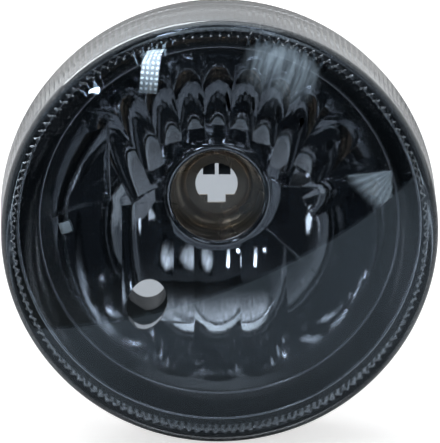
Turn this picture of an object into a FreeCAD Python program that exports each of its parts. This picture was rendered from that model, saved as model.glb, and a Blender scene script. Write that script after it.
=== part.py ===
import FreeCAD, Part
import math
import os

import Sketcher

os.makedirs("parts", exist_ok=True)
doc = FreeCAD.newDocument("ScooterHeadlight")
V = FreeCAD.Vector

# Driving sizes, millimetres and degrees
SIZES = {
    "rim_radius": 77.5,
    "lens_wall": 3.0,
    "shoulder_radius": 6.0,
    "dome_radius": 190.0,
    "skirt_length": 26.0,
    "skirt_draft": 1.5,
    "taper_gap": 2.4,
    "seam_setback": 38.0,
    "tongue_wall": 1.2,
    "tongue_length": 3.5,
    "tooth_height": 1.6,
    "tooth_inset": 1.1,
    "tooth_ring_depth": 3.2,
    "tooth_ring_root": 2.0,
    "seal_thickness": 1.0,
    "seal_clearance": 0.05,
    "channel_clearance": 0.3,
    "lip_wall": 1.0,
    "lip_chamfer": 2.2,
    "floor_wall": 5.0,
    "ledge_wall": 2.6,
    "ledge_rise": 5.6,
    "housing_wall": 2.5,
    "reflector_wall": 3.2,
    "flange_inset": 0.4,
    "flange_width": 10.4,
    "mouth_step": 4.6,
    "mouth_drop": 4.9,
    "bowl_depth": 37.2,
    "step_depth": 0.8,
    "side_edge": 39.0,
    "side_top": 29.0,
    "side_depth": 1.6,
    "fan_pitch": 6.2,
    "flute_width": 10.4,
    "flute_depth": 1.15,
    "petal_offset": 24.0,
    "petal_width": 13.0,
    "petal_depth": 1.2,
    "panel_pitch": 17.4,
    "panel_depth": 0.7,
    "trough_depth": 1.0,
    "bezel_gap": 8.5,
    "bezel_overlap": 0.8,
    "bezel_clearance": 0.4,
    "bezel_edge": 2.6,
    "bezel_wall": 1.6,
    "bezel_lip": 1.2,
    "neck_step": 1.2,
    "neck_wall": 3.2,
    "neck_round": 1.75,
    "neck_rise": 4.0,
    "pad_margin": 3.5,
    "rear_clearance": 2.7,
    "rear_wall": 2.5,
    "rear_length": 7.0,
    "gasket_thickness": 4.0,
    "gasket_margin": 0.2,
    "seat_sheet": 1.0,
    "seat_depth": 7.0,
    "seat_radius": 15.7,
    "seat_margin": 0.3,
    "seat_bend": 4.5,
    "opening_radius": 7.8,
    "opening_sill": 4.3,
    "notch_half_width": 3.3,
    "notch_drop": 7.2,
    "collar_sheet": 2.0,
    "collar_clearance": 0.6,
    "collar_opening": 9.6,
    "socket_radius": 12.5,
    "socket_wall": 2.2,
    "socket_length": 6.0,
    "lug_width": 4.4,
    "lug_gap": 1.4,
    "lug_offset": 0.1,
    "lug_edge": 3.2,
    "screw_radius": 1.4,
    "screw_clearance": 0.15,
    "screw_grip": 4.0,
    "screw_head_radius": 2.7,
    "screw_head_height": 1.8,
    "screw_head_gap": 0.3,
    "park_radius": 7.0,
    "park_wall": 2.2,
    "park_margin": 0.3,
    "park_gap": 4.7,
    "park_front_gap": 3.4,
    "park_stub": 3.3,
    "boss_inset": 5.6,
    "boss_radius": 8.0,
    "insert_radius": 4.0,
    "insert_clearance": 0.05,
    "insert_bore": 2.5,
    "insert_length": 10.0,
    "vent_gap": 0.5,
    "vent_z": 34.0,
    "vent_bore": 2.2,
    "vent_wall": 1.6,
    "elbow_gap": 1.6,
    "elbow_clearance": 0.1,
    "elbow_wall": 1.7,
    "elbow_bend": 8.0,
    "elbow_cover": 6.0,
    "elbow_tail": 7.0,
    "rib_width": 2.2,
    "rib_height": 3.0,
}

# Where the flutes begin and end, in degrees away from the axis about the bowl's centre
NECK_START = 3
SIDE_START = 10
PETAL_START = 22
PANEL_START = 12
PARK_START = 44
FLUTE_END = 72

# Lean of each upper flute against the next and of the two petals, in degrees seen from the front
FAN_LEAN = 6
PETAL_LEANS = (30, 52)

# Radius across a wide panel as a share of the bowl's radius
PANEL_SHARE = 0.45

# Direction of the parking light from the axis, in degrees seen from the front
PARK_ANGLE = 235.5

# Teeth inside the lens's shoulder
TEETH = 144

sheet = doc.addObject("Spreadsheet::Sheet", "Dim")
for row, (alias, size) in enumerate(SIZES.items(), start=1):
    sheet.set(f"A{row}", alias)
    sheet.set(f"B{row}", str(size))
    sheet.setAlias(f"B{row}", alias)
doc.recompute()


def dims(formula):
    """Write a formula of plain size names as an expression on the sheet."""
    words = []
    for word in formula.replace("(", " ( ").replace(")", " ) ").split():
        words.append(f"Dim.{word}" if word in SIZES else word)
    return "(" + " ".join(words) + ")"


def value(expression):
    """Number that an expression has now."""
    return float(sheet.evalExpression(expression))


# Places along the lamp's axis and radii around it; the fixing bosses end at y = 0 and the front is -Y
LENS_IN = dims("rim_radius - lens_wall")
SEAM = dims("0 - seam_setback")
SHOULDER = dims("0 - seam_setback - skirt_length")
SHOULDER_OUT = dims("rim_radius - skirt_draft")
SHOULDER_IN = dims("rim_radius - skirt_draft - lens_wall")
SHOULDER_RING = dims("rim_radius - skirt_draft - shoulder_radius")
DOME_ARM = dims("dome_radius - shoulder_radius")
DOME_RISE = f"sqrt({DOME_ARM}^2 - {SHOULDER_RING}^2)"
DOME_CENTRE = f"({SHOULDER} + {DOME_RISE})"
TONGUE_OUT = dims("rim_radius - lens_wall + tongue_wall")
TONGUE_END = dims("tongue_length - seam_setback")
FLOOR = dims("tongue_length + seal_thickness - seam_setback")
FLOOR_BACK = dims("tongue_length + seal_thickness + floor_wall - seam_setback")
CHANNEL_IN = dims("rim_radius - lens_wall - channel_clearance")
CHANNEL_OUT = dims("rim_radius - lens_wall + tongue_wall + channel_clearance")
LIP = dims("rim_radius - lens_wall + tongue_wall + channel_clearance + lip_wall")
LEDGE_IN = dims("rim_radius - lens_wall - channel_clearance - ledge_wall")
LEDGE = dims("0 - seam_setback - ledge_rise")
TAPER = dims("0 - seam_setback - ledge_rise - taper_gap")
APERTURE = dims("0 - seam_setback - ledge_rise - reflector_wall")
FLANGE = dims("rim_radius - lens_wall - channel_clearance - flange_inset")
FLANGE_IN = dims("rim_radius - lens_wall - channel_clearance - flange_inset - flange_width")
MOUTH = f"({FLANGE_IN} - Dim.mouth_step)"
MOUTH_PLACE = f"({APERTURE} + Dim.mouth_drop)"
BOWL = f"(({MOUTH}^2 + Dim.bowl_depth^2) / (2 * Dim.bowl_depth))"
BOWL_BACK = f"({BOWL} + Dim.reflector_wall)"
CENTRE = f"({MOUTH_PLACE} + Dim.bowl_depth - {BOWL})"
PAD = f"({MOUTH_PLACE} + Dim.bowl_depth + Dim.reflector_wall)"
NECK = dims("seat_radius + neck_step")
NECK_OUT = dims("seat_radius + neck_step + neck_wall")
COLLAR_IN = dims("seat_radius + seat_sheet + collar_clearance")
COLLAR_OUT = dims("seat_radius + seat_sheet + collar_clearance + collar_sheet")
SCREW_CIRCLE = f"({COLLAR_OUT} + Dim.screw_head_gap + Dim.screw_head_radius)"
SEAT_RIM = f"({SCREW_CIRCLE} + Dim.screw_head_radius + Dim.seat_margin)"
REAR_IN = f"({SEAT_RIM} + Dim.rear_clearance)"
REAR_OUT = f"({REAR_IN} + Dim.rear_wall)"
PAD_RADIUS = f"({REAR_IN} + Dim.pad_margin)"
NECK_FRONT = f"({CENTRE} + sqrt({BOWL}^2 - {NECK_OUT}^2) - Dim.neck_rise)"
SHELL = f"sqrt({LEDGE_IN}^2 + ({FLOOR_BACK} - {CENTRE})^2)"
SHELL_IN = f"({SHELL} - Dim.housing_wall)"
SHELL_MID = f"({SHELL} - Dim.housing_wall / 2)"
REAR_END = f"({CENTRE} + sqrt({SHELL}^2 - {REAR_OUT}^2) + Dim.rear_length)"
GASKET_END = f"({PAD} + Dim.gasket_thickness)"
SEAT_BACK = f"({PAD} + Dim.seat_sheet)"
DISH = f"({PAD} + Dim.seat_depth)"
DISH_BACK = f"({PAD} + Dim.seat_depth + Dim.seat_sheet)"
COLLAR_FLANGE = f"({SEAT_BACK} + Dim.collar_sheet)"
COLLAR_BACK = f"({DISH_BACK} + Dim.collar_sheet)"
SOCKET_OUT = dims("socket_radius + socket_wall")
SOCKET_END = f"({COLLAR_BACK} + Dim.socket_length)"
BOSS_CIRCLE = f"({LEDGE_IN} - Dim.boss_radius - Dim.boss_inset)"


def on_sphere(radius, across):
    """Place along the axis where a sphere about the bowl's centre has this distance from the axis."""
    return f"({CENTRE} + sqrt({radius}^2 - {across}^2))"


def turned(radius, degrees):
    """Place at this angle on a circle about the axis, seen from the front."""
    return f"({radius} * cos({degrees} deg))", f"({radius} * sin({degrees} deg))"


# Parking-light collar: clear of the foam ring, in front of the reflector's back and behind the shell
PARK_OUT = dims("park_radius + park_wall")
PARK_EDGE = f"({PAD_RADIUS} + Dim.park_gap)"
PARK_X, PARK_Z = turned(f"({PARK_EDGE} + {PARK_OUT})", PARK_ANGLE)
PARK_FRONT = f"({on_sphere(BOWL_BACK, PARK_EDGE)} + Dim.park_front_gap)"
PARK_REAR = f"({on_sphere(SHELL, PARK_EDGE)} + Dim.park_stub)"

# Breather stubs and elbows: clear of the rear collar and of the shell
STUB = dims("vent_bore + vent_wall")
ELBOW_BORE = f"({STUB} + Dim.elbow_clearance)"
ELBOW_OUT = f"({ELBOW_BORE} + Dim.elbow_wall)"
VENT_X = f"({REAR_OUT} + {ELBOW_OUT} + Dim.vent_gap)"
VENT_REACH = f"sqrt({VENT_X}^2 + Dim.vent_z^2)"
ELBOW_START = f"({on_sphere(SHELL, f'({VENT_REACH} - {ELBOW_OUT})')} + Dim.elbow_gap)"
VENT_REAR = f"({ELBOW_START} + Dim.elbow_cover)"


def new_body(label):
    body = doc.addObject("PartDesign::Body", label + "_body")
    body.Label = label
    return body


def new_sketch(body, name, role, offset="0"):
    """Empty sketch on one of the body's own planes, moved along its normal."""
    sketch = body.newObject("Sketcher::SketchObject", name)
    plane = [f for f in body.Origin.OriginFeatures if f.Role == role][0]
    sketch.AttachmentSupport = [(plane, "")]
    sketch.MapMode = "FlatFace"
    if offset != "0":
        sketch.setExpression("AttachmentOffset.Base.z", offset)
    return sketch


def place_point(sketch, geometry, end, x, y):
    """Tie one point of the sketch to two expressions."""
    for kind, axis, place in (("DistanceX", -2, x), ("DistanceY", -1, y)):
        if place == "0":
            sketch.addConstraint(Sketcher.Constraint("PointOnObject", geometry, end, axis))
        else:
            tie = sketch.addConstraint(Sketcher.Constraint(kind, -1, 1, geometry, end, value(place)))
            sketch.setExpression(f"Constraints[{tie}]", place)


def outline(sketch, corners, bends=None):
    """Closed outline through the corners; a bend turns the edge after its corner into an arc."""
    bends = bends or {}
    points = [V(value(x), value(y), 0) for x, y in corners]
    starts = []
    ends = []
    for i, start in enumerate(points):
        stop = points[(i + 1) % len(points)]
        if i not in bends:
            starts.append((sketch.addGeometry(Part.LineSegment(start, stop)), 1))
            ends.append((starts[-1][0], 2))
            continue
        radius, side = bends[i]
        chord = stop - start
        across = V(-chord.y, chord.x, 0).normalize() * side
        height = (value(radius) ** 2 - (chord.Length / 2) ** 2) ** 0.5
        centre = (start + stop) * 0.5 + across * height
        circle = Part.Circle(centre, V(0, 0, 1), value(radius))
        first, last = (start, stop) if side > 0 else (stop, start)
        arc = sketch.addGeometry(Part.ArcOfCircle(circle, circle.parameter(first), circle.parameter(last)))
        starts.append((arc, 1 if side > 0 else 2))
        ends.append((arc, 2 if side > 0 else 1))
        tie = sketch.addConstraint(Sketcher.Constraint("Radius", arc, value(radius)))
        sketch.setExpression(f"Constraints[{tie}]", radius)
    for i, (x, y) in enumerate(corners):
        sketch.addConstraint(Sketcher.Constraint("Coincident", *ends[i - 1], *starts[i]))
        place_point(sketch, *starts[i], x, y)


def ring(sketch, x, y, radius):
    """Circle tied to a place and a radius."""
    circle = Part.Circle(V(value(x), value(y), 0), V(0, 0, 1), value(radius))
    geometry = sketch.addGeometry(circle)
    place_point(sketch, geometry, 3, x, y)
    tie = sketch.addConstraint(Sketcher.Constraint("Radius", geometry, value(radius)))
    sketch.setExpression(f"Constraints[{tie}]", radius)


def revolve(body, name, corners, bends=None):
    """Turn an outline of radius and axial place about the lamp's axis."""
    sketch = new_sketch(body, name + "_outline", "XY_Plane")
    outline(sketch, corners, bends)
    turned = body.newObject("PartDesign::Revolution", name)
    turned.Profile = sketch
    turned.ReferenceAxis = (sketch, ["V_Axis"])
    turned.Angle = 360
    doc.recompute()
    return turned


def pad(body, sketch, name, length):
    """Pad towards the front; a sketch on the XZ plane has its normal along -Y."""
    block = body.newObject("PartDesign::Pad", name)
    block.Profile = sketch
    block.setExpression("Length", length)
    doc.recompute()
    return block


def pocket(body, sketch, name, length):
    """Pocket towards the front."""
    cut = body.newObject("PartDesign::Pocket", name)
    cut.Profile = sketch
    cut.Reversed = True
    cut.setExpression("Length", length)
    doc.recompute()
    return cut


def around_axis(body, name, features, sketch, count):
    """Repeat features about the lamp's axis."""
    pattern = body.newObject("PartDesign::PolarPattern", name)
    pattern.Originals = features
    pattern.Axis = (sketch, ["N_Axis"])
    pattern.Angle = 360
    pattern.Occurrences = count
    body.Tip = pattern
    doc.recompute()
    return pattern


def bar(name, radius, start, stop, x="0", z="0"):
    """Round bar along the lamp's axis between two places."""
    rod = doc.addObject("Part::Cylinder", name)
    rod.Placement.Rotation = FreeCAD.Rotation(V(1, 0, 0), -90)
    rod.setExpression("Radius", radius)
    rod.setExpression("Height", f"{stop} - {start}")
    rod.setExpression("Placement.Base.x", x)
    rod.setExpression("Placement.Base.y", start)
    rod.setExpression("Placement.Base.z", z)
    return rod


def minus(name, base, tool):
    cut = doc.addObject("Part::Cut", name)
    cut.Base = base
    cut.Tool = tool
    return cut


def tube(name, outer, inner, start, stop, x="0", z="0"):
    """Plain tube along the lamp's axis."""
    return minus(name, bar(name + "_out", outer, start, stop, x, z), bar(name + "_in", inner, start, stop, x, z))


def group(label, members):
    """Separate solids that share one node."""
    whole = doc.addObject("Part::Compound", label + "_group")
    whole.Links = members
    whole.Label = label
    return whole


# Smoked lens: dome, rounded shoulder, tapered skirt and the tongue that enters the channel
def make_lens():
    body = new_body("lens")
    inner_dome = dims("dome_radius - lens_wall")
    inner_shoulder = dims("shoulder_radius - lens_wall")
    corners = [
        ("0", f"({DOME_CENTRE} - Dim.dome_radius)"),
        (f"({SHOULDER_RING} * Dim.dome_radius / {DOME_ARM})",
         f"({DOME_CENTRE} - {DOME_RISE} * Dim.dome_radius / {DOME_ARM})"),
        (SHOULDER_OUT, SHOULDER),
        ("Dim.rim_radius", SEAM),
        (TONGUE_OUT, SEAM),
        (TONGUE_OUT, TONGUE_END),
        (LENS_IN, TONGUE_END),
        (LENS_IN, TAPER),
        (SHOULDER_IN, SHOULDER),
        (f"({SHOULDER_RING} * {inner_dome} / {DOME_ARM})",
         f"({DOME_CENTRE} - {DOME_RISE} * {inner_dome} / {DOME_ARM})"),
        ("0", f"({DOME_CENTRE} - {inner_dome})"),
    ]
    bends = {0: ("Dim.dome_radius", 1), 1: ("Dim.shoulder_radius", 1),
             8: (inner_shoulder, -1), 9: (inner_dome, -1)}
    revolve(body, "lens_shell", corners, bends)
    body.Label = "lens_blank"
    teeth = doc.addObject("Part::Feature", "toothed_ring")
    teeth.Shape = toothed_ring(value(f"({SHOULDER_IN} - Dim.tooth_inset)"), value("Dim.tooth_height"),
                               value("Dim.tooth_ring_root"), value("Dim.tooth_ring_depth"))
    teeth.Placement.Base = V(0, value(SHOULDER) - value("Dim.tooth_ring_depth"), 0)
    whole = doc.addObject("Part::Fuse", "lens_whole")
    whole.Base = body
    whole.Tool = teeth
    whole.Label = "lens"
    return whole


# Ring along +Y with pointed teeth on its inside
def toothed_ring(radius, height, root, depth):
    points = []
    for k in range(2 * TEETH):
        angle = math.pi * k / TEETH
        reach = radius if k % 2 else radius - height
        points.append(V(reach * math.cos(angle), 0, reach * math.sin(angle)))
    inside = Part.Face(Part.makePolygon(points + points[:1])).extrude(V(0, depth, 0))
    return Part.makeCylinder(radius + root, depth, V(0, 0, 0), V(0, 1, 0)).cut(inside)


# Sealant bead between the tongue and the floor of the channel
def make_lens_seal():
    seal = tube("lens_seal_ring", f"({CHANNEL_OUT} - Dim.seal_clearance)",
                f"({CHANNEL_IN} + Dim.seal_clearance)", TONGUE_END, FLOOR)
    seal.Label = "lens_seal"
    return seal


# Trim ring that stands on the reflector's flange
def make_bezel():
    body = new_body("bezel")
    front = f"({SHOULDER} + Dim.bezel_gap)"
    inner = f"({FLANGE_IN} - Dim.bezel_overlap)"
    outer = f"({SHOULDER_IN} - Dim.bezel_clearance)"
    corners = [
        (inner, APERTURE),
        (inner, f"({APERTURE} - Dim.bezel_lip)"),
        (f"({outer} - Dim.bezel_edge)", front),
        (outer, front),
        (outer, APERTURE),
        (f"({outer} - Dim.bezel_wall)", APERTURE),
        (f"({outer} - Dim.bezel_wall)", f"({front} + 2 * Dim.bezel_wall)"),
        (f"({inner} + 2 * Dim.bezel_wall)", APERTURE),
    ]
    revolve(body, "bezel_ring", corners)
    return body


# One flute: part of a torus whose tube grazes the bowl, at an angle from the middle plane
def flute(name, angle, groove, depth, start, stop):
    reach = f"({BOWL} + {depth} - {groove})"
    cutter = doc.addObject("Part::Torus", name)
    cutter.setExpression("Radius1", f"{reach} * cos({angle})")
    cutter.setExpression("Radius2", groove)
    cutter.Angle3 = stop - start
    cutter.setExpression("Placement.Base.y", CENTRE)
    return cutter, f"({reach} * sin({angle}))"


# Flute above the axis, leaning sideways
def upper_flute(name, angle, groove, depth, start, lean):
    cutter, across = flute(name, angle, groove, depth, start, FLUTE_END)
    turn = FreeCAD.Rotation(V(1, 0, 0), 90 + start) * FreeCAD.Rotation(V(0, 1, 0), 90)
    cutter.Placement.Rotation = FreeCAD.Rotation(V(0, 1, 0), lean) * turn
    cutter.setExpression("Placement.Base.x", f"{across} * cos({lean} deg)")
    cutter.setExpression("Placement.Base.z", f"-{across} * sin({lean} deg)")
    return cutter


# Wide upright flute below the axis
def lower_flute(name, angle, depth, start, stop):
    cutter, across = flute(name, angle, f"({PANEL_SHARE} * {BOWL})", depth, start, stop)
    cutter.Placement.Rotation = FreeCAD.Rotation(V(1, 0, 0), 90 - stop) * FreeCAD.Rotation(V(0, 1, 0), 90)
    cutter.setExpression("Placement.Base.x", across)
    return cutter


def groove_radius(width, depth):
    """Radius of a groove with this width and depth."""
    return f"(({width}^2 / 4 + {depth}^2) / (2 * {depth}))"


def arc_angle(length):
    """Angle at the bowl's centre over a length along the bowl."""
    return f"({length} / {BOWL} * 1 rad)"


# One recessed sector of the bowl, between two angles seen from the front
def sector(name, first, last):
    cutter = doc.addObject("Part::Sphere", name)
    cutter.setExpression("Radius", f"{BOWL} + Dim.step_depth")
    cutter.Angle3 = last - first
    cutter.Placement.Rotation = FreeCAD.Rotation(V(0, 1, 0), -last) * FreeCAD.Rotation(V(1, 0, 0), -90)
    cutter.setExpression("Placement.Base.y", CENTRE)
    return cutter


# Recessed panel in the bowl's left side, with a shelf on the level of the axis
def side_panel():
    hollow = doc.addObject("Part::Sphere", "side_hollow")
    hollow.setExpression("Radius", f"{BOWL} + Dim.side_depth")
    hollow.Placement.Rotation = FreeCAD.Rotation(V(1, 0, 0), -90)
    hollow.setExpression("Placement.Base.y", CENTRE)
    frame = doc.addObject("Part::Box", "side_frame")
    frame.setExpression("Length", f"{MOUTH} - Dim.side_edge")
    frame.setExpression("Width", f"{PAD} - {APERTURE}")
    frame.setExpression("Height", "Dim.side_top")
    frame.setExpression("Placement.Base.x", f"-{MOUTH}")
    frame.setExpression("Placement.Base.y", APERTURE)
    panel = doc.addObject("Part::Common", "side_panel")
    panel.Base = hollow
    panel.Tool = frame
    return panel


# Chromed bowl with flange, back pad, recessed panels, flutes, neck ring and parking-light hole
def make_reflector():
    body = new_body("reflector_blank")
    corners = [
        (NECK, on_sphere(BOWL, NECK)),
        (MOUTH, MOUTH_PLACE),
        (FLANGE_IN, APERTURE),
        (FLANGE, APERTURE),
        (FLANGE, LEDGE),
        (f"sqrt({BOWL_BACK}^2 - ({LEDGE} - {CENTRE})^2)", LEDGE),
        (PAD_RADIUS, on_sphere(BOWL_BACK, PAD_RADIUS)),
        (PAD_RADIUS, PAD),
        (NECK, PAD),
    ]
    revolve(body, "reflector_bowl", corners, {0: (BOWL, -1), 5: (BOWL_BACK, 1)})
    screw_holes(body, PAD, "Dim.screw_grip + Dim.screw_clearance")
    tools = [side_panel(), sector("right_step", -37, 6)]
    narrow = groove_radius("Dim.flute_width", "Dim.flute_depth")
    for k in range(-4, 4):
        start = NECK_START if abs(k) < 3 else SIDE_START
        tools.append(upper_flute(f"fan_flute_{k + 4}", arc_angle(f"{k} * Dim.fan_pitch"), narrow,
                                 "Dim.flute_depth", start, FAN_LEAN * k))
    broad = groove_radius("Dim.petal_width", "Dim.petal_depth")
    for k, lean in enumerate(PETAL_LEANS):
        tools.append(upper_flute(f"petal_{k}", arc_angle("Dim.petal_offset"), broad, "Dim.petal_depth",
                                 PETAL_START, lean))
    for k in range(-1, 2):
        start = PARK_START if k < 0 else PANEL_START
        tools.append(lower_flute(f"panel_{k + 1}", arc_angle(f"{k} * Dim.panel_pitch"), "Dim.panel_depth",
                                 start, FLUTE_END))
    tools.append(lower_flute("park_trough", f"asin({PARK_X} / {BOWL})", "Dim.trough_depth",
                             NECK_START, PARK_START))
    shape = body
    for tool in tools:
        shape = minus("bowl_less_" + tool.Name, shape, tool)
    neck = new_body("neck_ring")
    corners = [(NECK, PAD), (NECK, NECK_FRONT), (NECK_OUT, NECK_FRONT), (NECK_OUT, PAD)]
    revolve(neck, "neck_tube", corners, {1: ("Dim.neck_round", 1)})
    joined = doc.addObject("Part::Fuse", "bowl_and_neck")
    joined.Base = shape
    joined.Tool = neck
    hole = bar("park_hole", dims("park_radius + park_margin"), APERTURE, "0", PARK_X, PARK_Z)
    whole = minus("reflector_whole", joined, hole)
    whole.Label = "reflector"
    return whole


# Rear shell: lens channel, ledge for the reflector, bowl, rear collar, bosses, stubs and ribs
def make_housing():
    body = new_body("housing")
    corners = [
        (LIP, SEAM),
        (LIP, FLOOR),
        (f"({LIP} - Dim.lip_chamfer)", FLOOR_BACK),
        (LEDGE_IN, FLOOR_BACK),
        (REAR_OUT, on_sphere(SHELL, REAR_OUT)),
        (REAR_OUT, REAR_END),
        (REAR_IN, REAR_END),
        (REAR_IN, GASKET_END),
        (REAR_OUT, GASKET_END),
        (REAR_OUT, on_sphere(SHELL_IN, REAR_OUT)),
        (LEDGE_IN, on_sphere(SHELL_IN, LEDGE_IN)),
        (LEDGE_IN, LEDGE),
        (CHANNEL_IN, LEDGE),
        (CHANNEL_IN, FLOOR),
        (CHANNEL_OUT, FLOOR),
        (CHANNEL_OUT, SEAM),
    ]
    revolve(body, "housing_shell", corners, {3: (SHELL, 1), 9: (SHELL_IN, -1)})

    boss_sketch = new_sketch(body, "boss_outline", "XZ_Plane")
    ring(boss_sketch, "0", BOSS_CIRCLE, "Dim.boss_radius")
    boss = pad(body, boss_sketch, "boss",
               f"-{on_sphere(SHELL_MID, f'({BOSS_CIRCLE} + Dim.boss_radius)')}")
    around_axis(body, "bosses", [boss], boss_sketch, 3)
    hole_sketch = new_sketch(body, "boss_hole_outline", "XZ_Plane")
    ring(hole_sketch, "0", BOSS_CIRCLE, "Dim.insert_radius")
    hole = pocket(body, hole_sketch, "boss_hole", "Dim.insert_length")
    around_axis(body, "boss_holes", [hole], hole_sketch, 3)

    park_length = f"{PARK_REAR} - {PARK_FRONT}"
    park_sketch = new_sketch(body, "park_outline", "XZ_Plane", f"-{PARK_REAR}")
    ring(park_sketch, PARK_X, PARK_Z, PARK_OUT)
    pad(body, park_sketch, "park_collar", park_length)
    bore_sketch = new_sketch(body, "park_bore_outline", "XZ_Plane", f"-{PARK_REAR}")
    ring(bore_sketch, PARK_X, PARK_Z, "Dim.park_radius")
    pocket(body, bore_sketch, "park_bore", park_length)

    vent_length = f"{VENT_REAR} - {on_sphere(SHELL_MID, f'({VENT_REACH} + {STUB})')}"
    stub_sketch = new_sketch(body, "vent_outline", "XZ_Plane", f"-{VENT_REAR}")
    for side in (f"-{VENT_X}", VENT_X):
        ring(stub_sketch, side, "Dim.vent_z", STUB)
    pad(body, stub_sketch, "vent_stubs", vent_length)
    vent_sketch = new_sketch(body, "vent_bore_outline", "XZ_Plane", f"-{VENT_REAR}")
    for side in (f"-{VENT_X}", VENT_X):
        ring(vent_sketch, side, "Dim.vent_z", "Dim.vent_bore")
    pocket(body, vent_sketch, "vent_bores", f"{vent_length} + 2 * Dim.housing_wall")

    rib_sketch = new_sketch(body, "rib_outline", "YZ_Plane")
    rib_out = f"({SHELL} + Dim.rib_height)"
    low = f"({REAR_IN} + Dim.rear_wall / 2)"
    high = f"({LEDGE_IN} - Dim.boss_radius)"
    corners = [
        (on_sphere(SHELL_MID, low), f"-{low}"),
        (on_sphere(SHELL_MID, high), f"-{high}"),
        (on_sphere(rib_out, high), f"-{high}"),
        (on_sphere(rib_out, low), f"-{low}"),
    ]
    outline(rib_sketch, corners, {0: (SHELL_MID, -1), 2: (rib_out, 1)})
    rib = pad(body, rib_sketch, "rib", "Dim.rib_width")
    rib.Midplane = True
    doc.recompute()
    around_axis(body, "ribs", [rib], boss_sketch, 3)
    return body


# Foam ring between the reflector's pad and the rear collar
def make_neck_gasket():
    gasket = tube("neck_gasket_ring", f"({REAR_OUT} - Dim.gasket_margin)", REAR_IN, PAD, GASKET_END)
    gasket.Label = "neck_gasket"
    return gasket


# Three clearance holes for the collar's screws, cut forwards from a place on the axis
def screw_holes(body, start, length):
    sketch = new_sketch(body, body.Label + "_screw_outline", "XZ_Plane", f"-{start}")
    ring(sketch, "0", SCREW_CIRCLE, dims("screw_radius + screw_clearance"))
    hole = pocket(body, sketch, body.Label + "_screw_hole", length)
    around_axis(body, body.Label + "_screw_holes", [hole], sketch, 3)


# Drawn dish behind the neck, with its shaped opening
def make_bulb_seat():
    body = new_body("bulb_seat")
    bend_out = dims("seat_bend + seat_sheet")
    wall_out = dims("seat_radius + seat_sheet")
    floor_edge = dims("seat_radius - seat_bend")
    corners = [
        ("0", DISH),
        (floor_edge, DISH),
        ("Dim.seat_radius", f"({DISH} - Dim.seat_bend)"),
        ("Dim.seat_radius", PAD),
        (SEAT_RIM, PAD),
        (SEAT_RIM, SEAT_BACK),
        (wall_out, SEAT_BACK),
        (wall_out, f"({DISH} - Dim.seat_bend)"),
        (floor_edge, DISH_BACK),
        ("0", DISH_BACK),
    ]
    revolve(body, "seat_dish", corners, {1: ("Dim.seat_bend", 1), 7: (bend_out, -1)})
    opening = new_sketch(body, "opening_outline", "XZ_Plane", f"-{DISH_BACK}")
    sill = f"sqrt(Dim.opening_radius^2 - Dim.opening_sill^2)"
    corners = [
        ("0", "Dim.opening_radius"),
        (f"(-{sill})", "(-Dim.opening_sill)"),
        ("(-Dim.notch_half_width)", "(-Dim.opening_sill)"),
        ("(-Dim.notch_half_width)", "(-Dim.notch_drop)"),
        ("Dim.notch_half_width", "(-Dim.notch_drop)"),
        ("Dim.notch_half_width", "(-Dim.opening_sill)"),
        (f"({sill})", "(-Dim.opening_sill)"),
    ]
    outline(opening, corners, {0: ("Dim.opening_radius", 1), 6: ("Dim.opening_radius", 1)})
    pocket(body, opening, "opening", "2 * Dim.seat_sheet")
    screw_holes(body, SEAT_BACK, "Dim.seat_sheet")
    return body


# Collar behind the dish: flange, wall, floor with two lugs, and the socket for the bulb holder
def make_bulb_collar():
    body = new_body("bulb_collar")
    corners = [
        (COLLAR_IN, SEAT_BACK),
        (SEAT_RIM, SEAT_BACK),
        (SEAT_RIM, COLLAR_FLANGE),
        (COLLAR_OUT, COLLAR_FLANGE),
        (COLLAR_OUT, COLLAR_BACK),
        (SOCKET_OUT, COLLAR_BACK),
        (SOCKET_OUT, SOCKET_END),
        ("Dim.socket_radius", SOCKET_END),
        ("Dim.socket_radius", COLLAR_BACK),
        ("Dim.collar_opening", COLLAR_BACK),
        ("Dim.collar_opening", DISH_BACK),
        (COLLAR_IN, DISH_BACK),
    ]
    revolve(body, "collar_ring", corners)
    lugs = new_sketch(body, "lug_outline", "XZ_Plane", f"-{COLLAR_BACK}")
    root = "((Dim.collar_opening + Dim.socket_radius) / 2)"
    for side in (-1, 1):
        near = f"(Dim.lug_offset + {side} * Dim.lug_gap / 2)"
        far = f"(Dim.lug_offset + {side} * (Dim.lug_gap / 2 + Dim.lug_width))"
        outline(lugs, [(near, "Dim.lug_edge"), (far, "Dim.lug_edge"), (far, root), (near, root)])
    pad(body, lugs, "lugs", "Dim.collar_sheet")
    screw_holes(body, COLLAR_FLANGE, "Dim.collar_sheet")
    return body


# Screws through collar and dish into the reflector's pad
def make_collar_screws():
    screws = []
    for k, degrees in enumerate((90, 210, 330)):
        x, z = turned(SCREW_CIRCLE, degrees)
        screw = doc.addObject("Part::Fuse", f"collar_screw_{k}")
        screw.Base = bar(f"screw_shank_{k}", "Dim.screw_radius", f"({PAD} - Dim.screw_grip)",
                         COLLAR_FLANGE, x, z)
        screw.Tool = bar(f"screw_head_{k}", "Dim.screw_head_radius", COLLAR_FLANGE,
                         f"({COLLAR_FLANGE} + Dim.screw_head_height)", x, z)
        screws.append(screw)
    return group("collar_screws", screws)


# Brass inserts in the bosses
def make_boss_inserts():
    inserts = []
    for k, degrees in enumerate((90, 210, 330)):
        x, z = turned(BOSS_CIRCLE, degrees)
        inserts.append(tube(f"boss_insert_{k}", dims("insert_radius - insert_clearance"), "Dim.insert_bore",
                            "(-Dim.insert_length)", "0", x, z))
    return group("boss_inserts", inserts)


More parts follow.
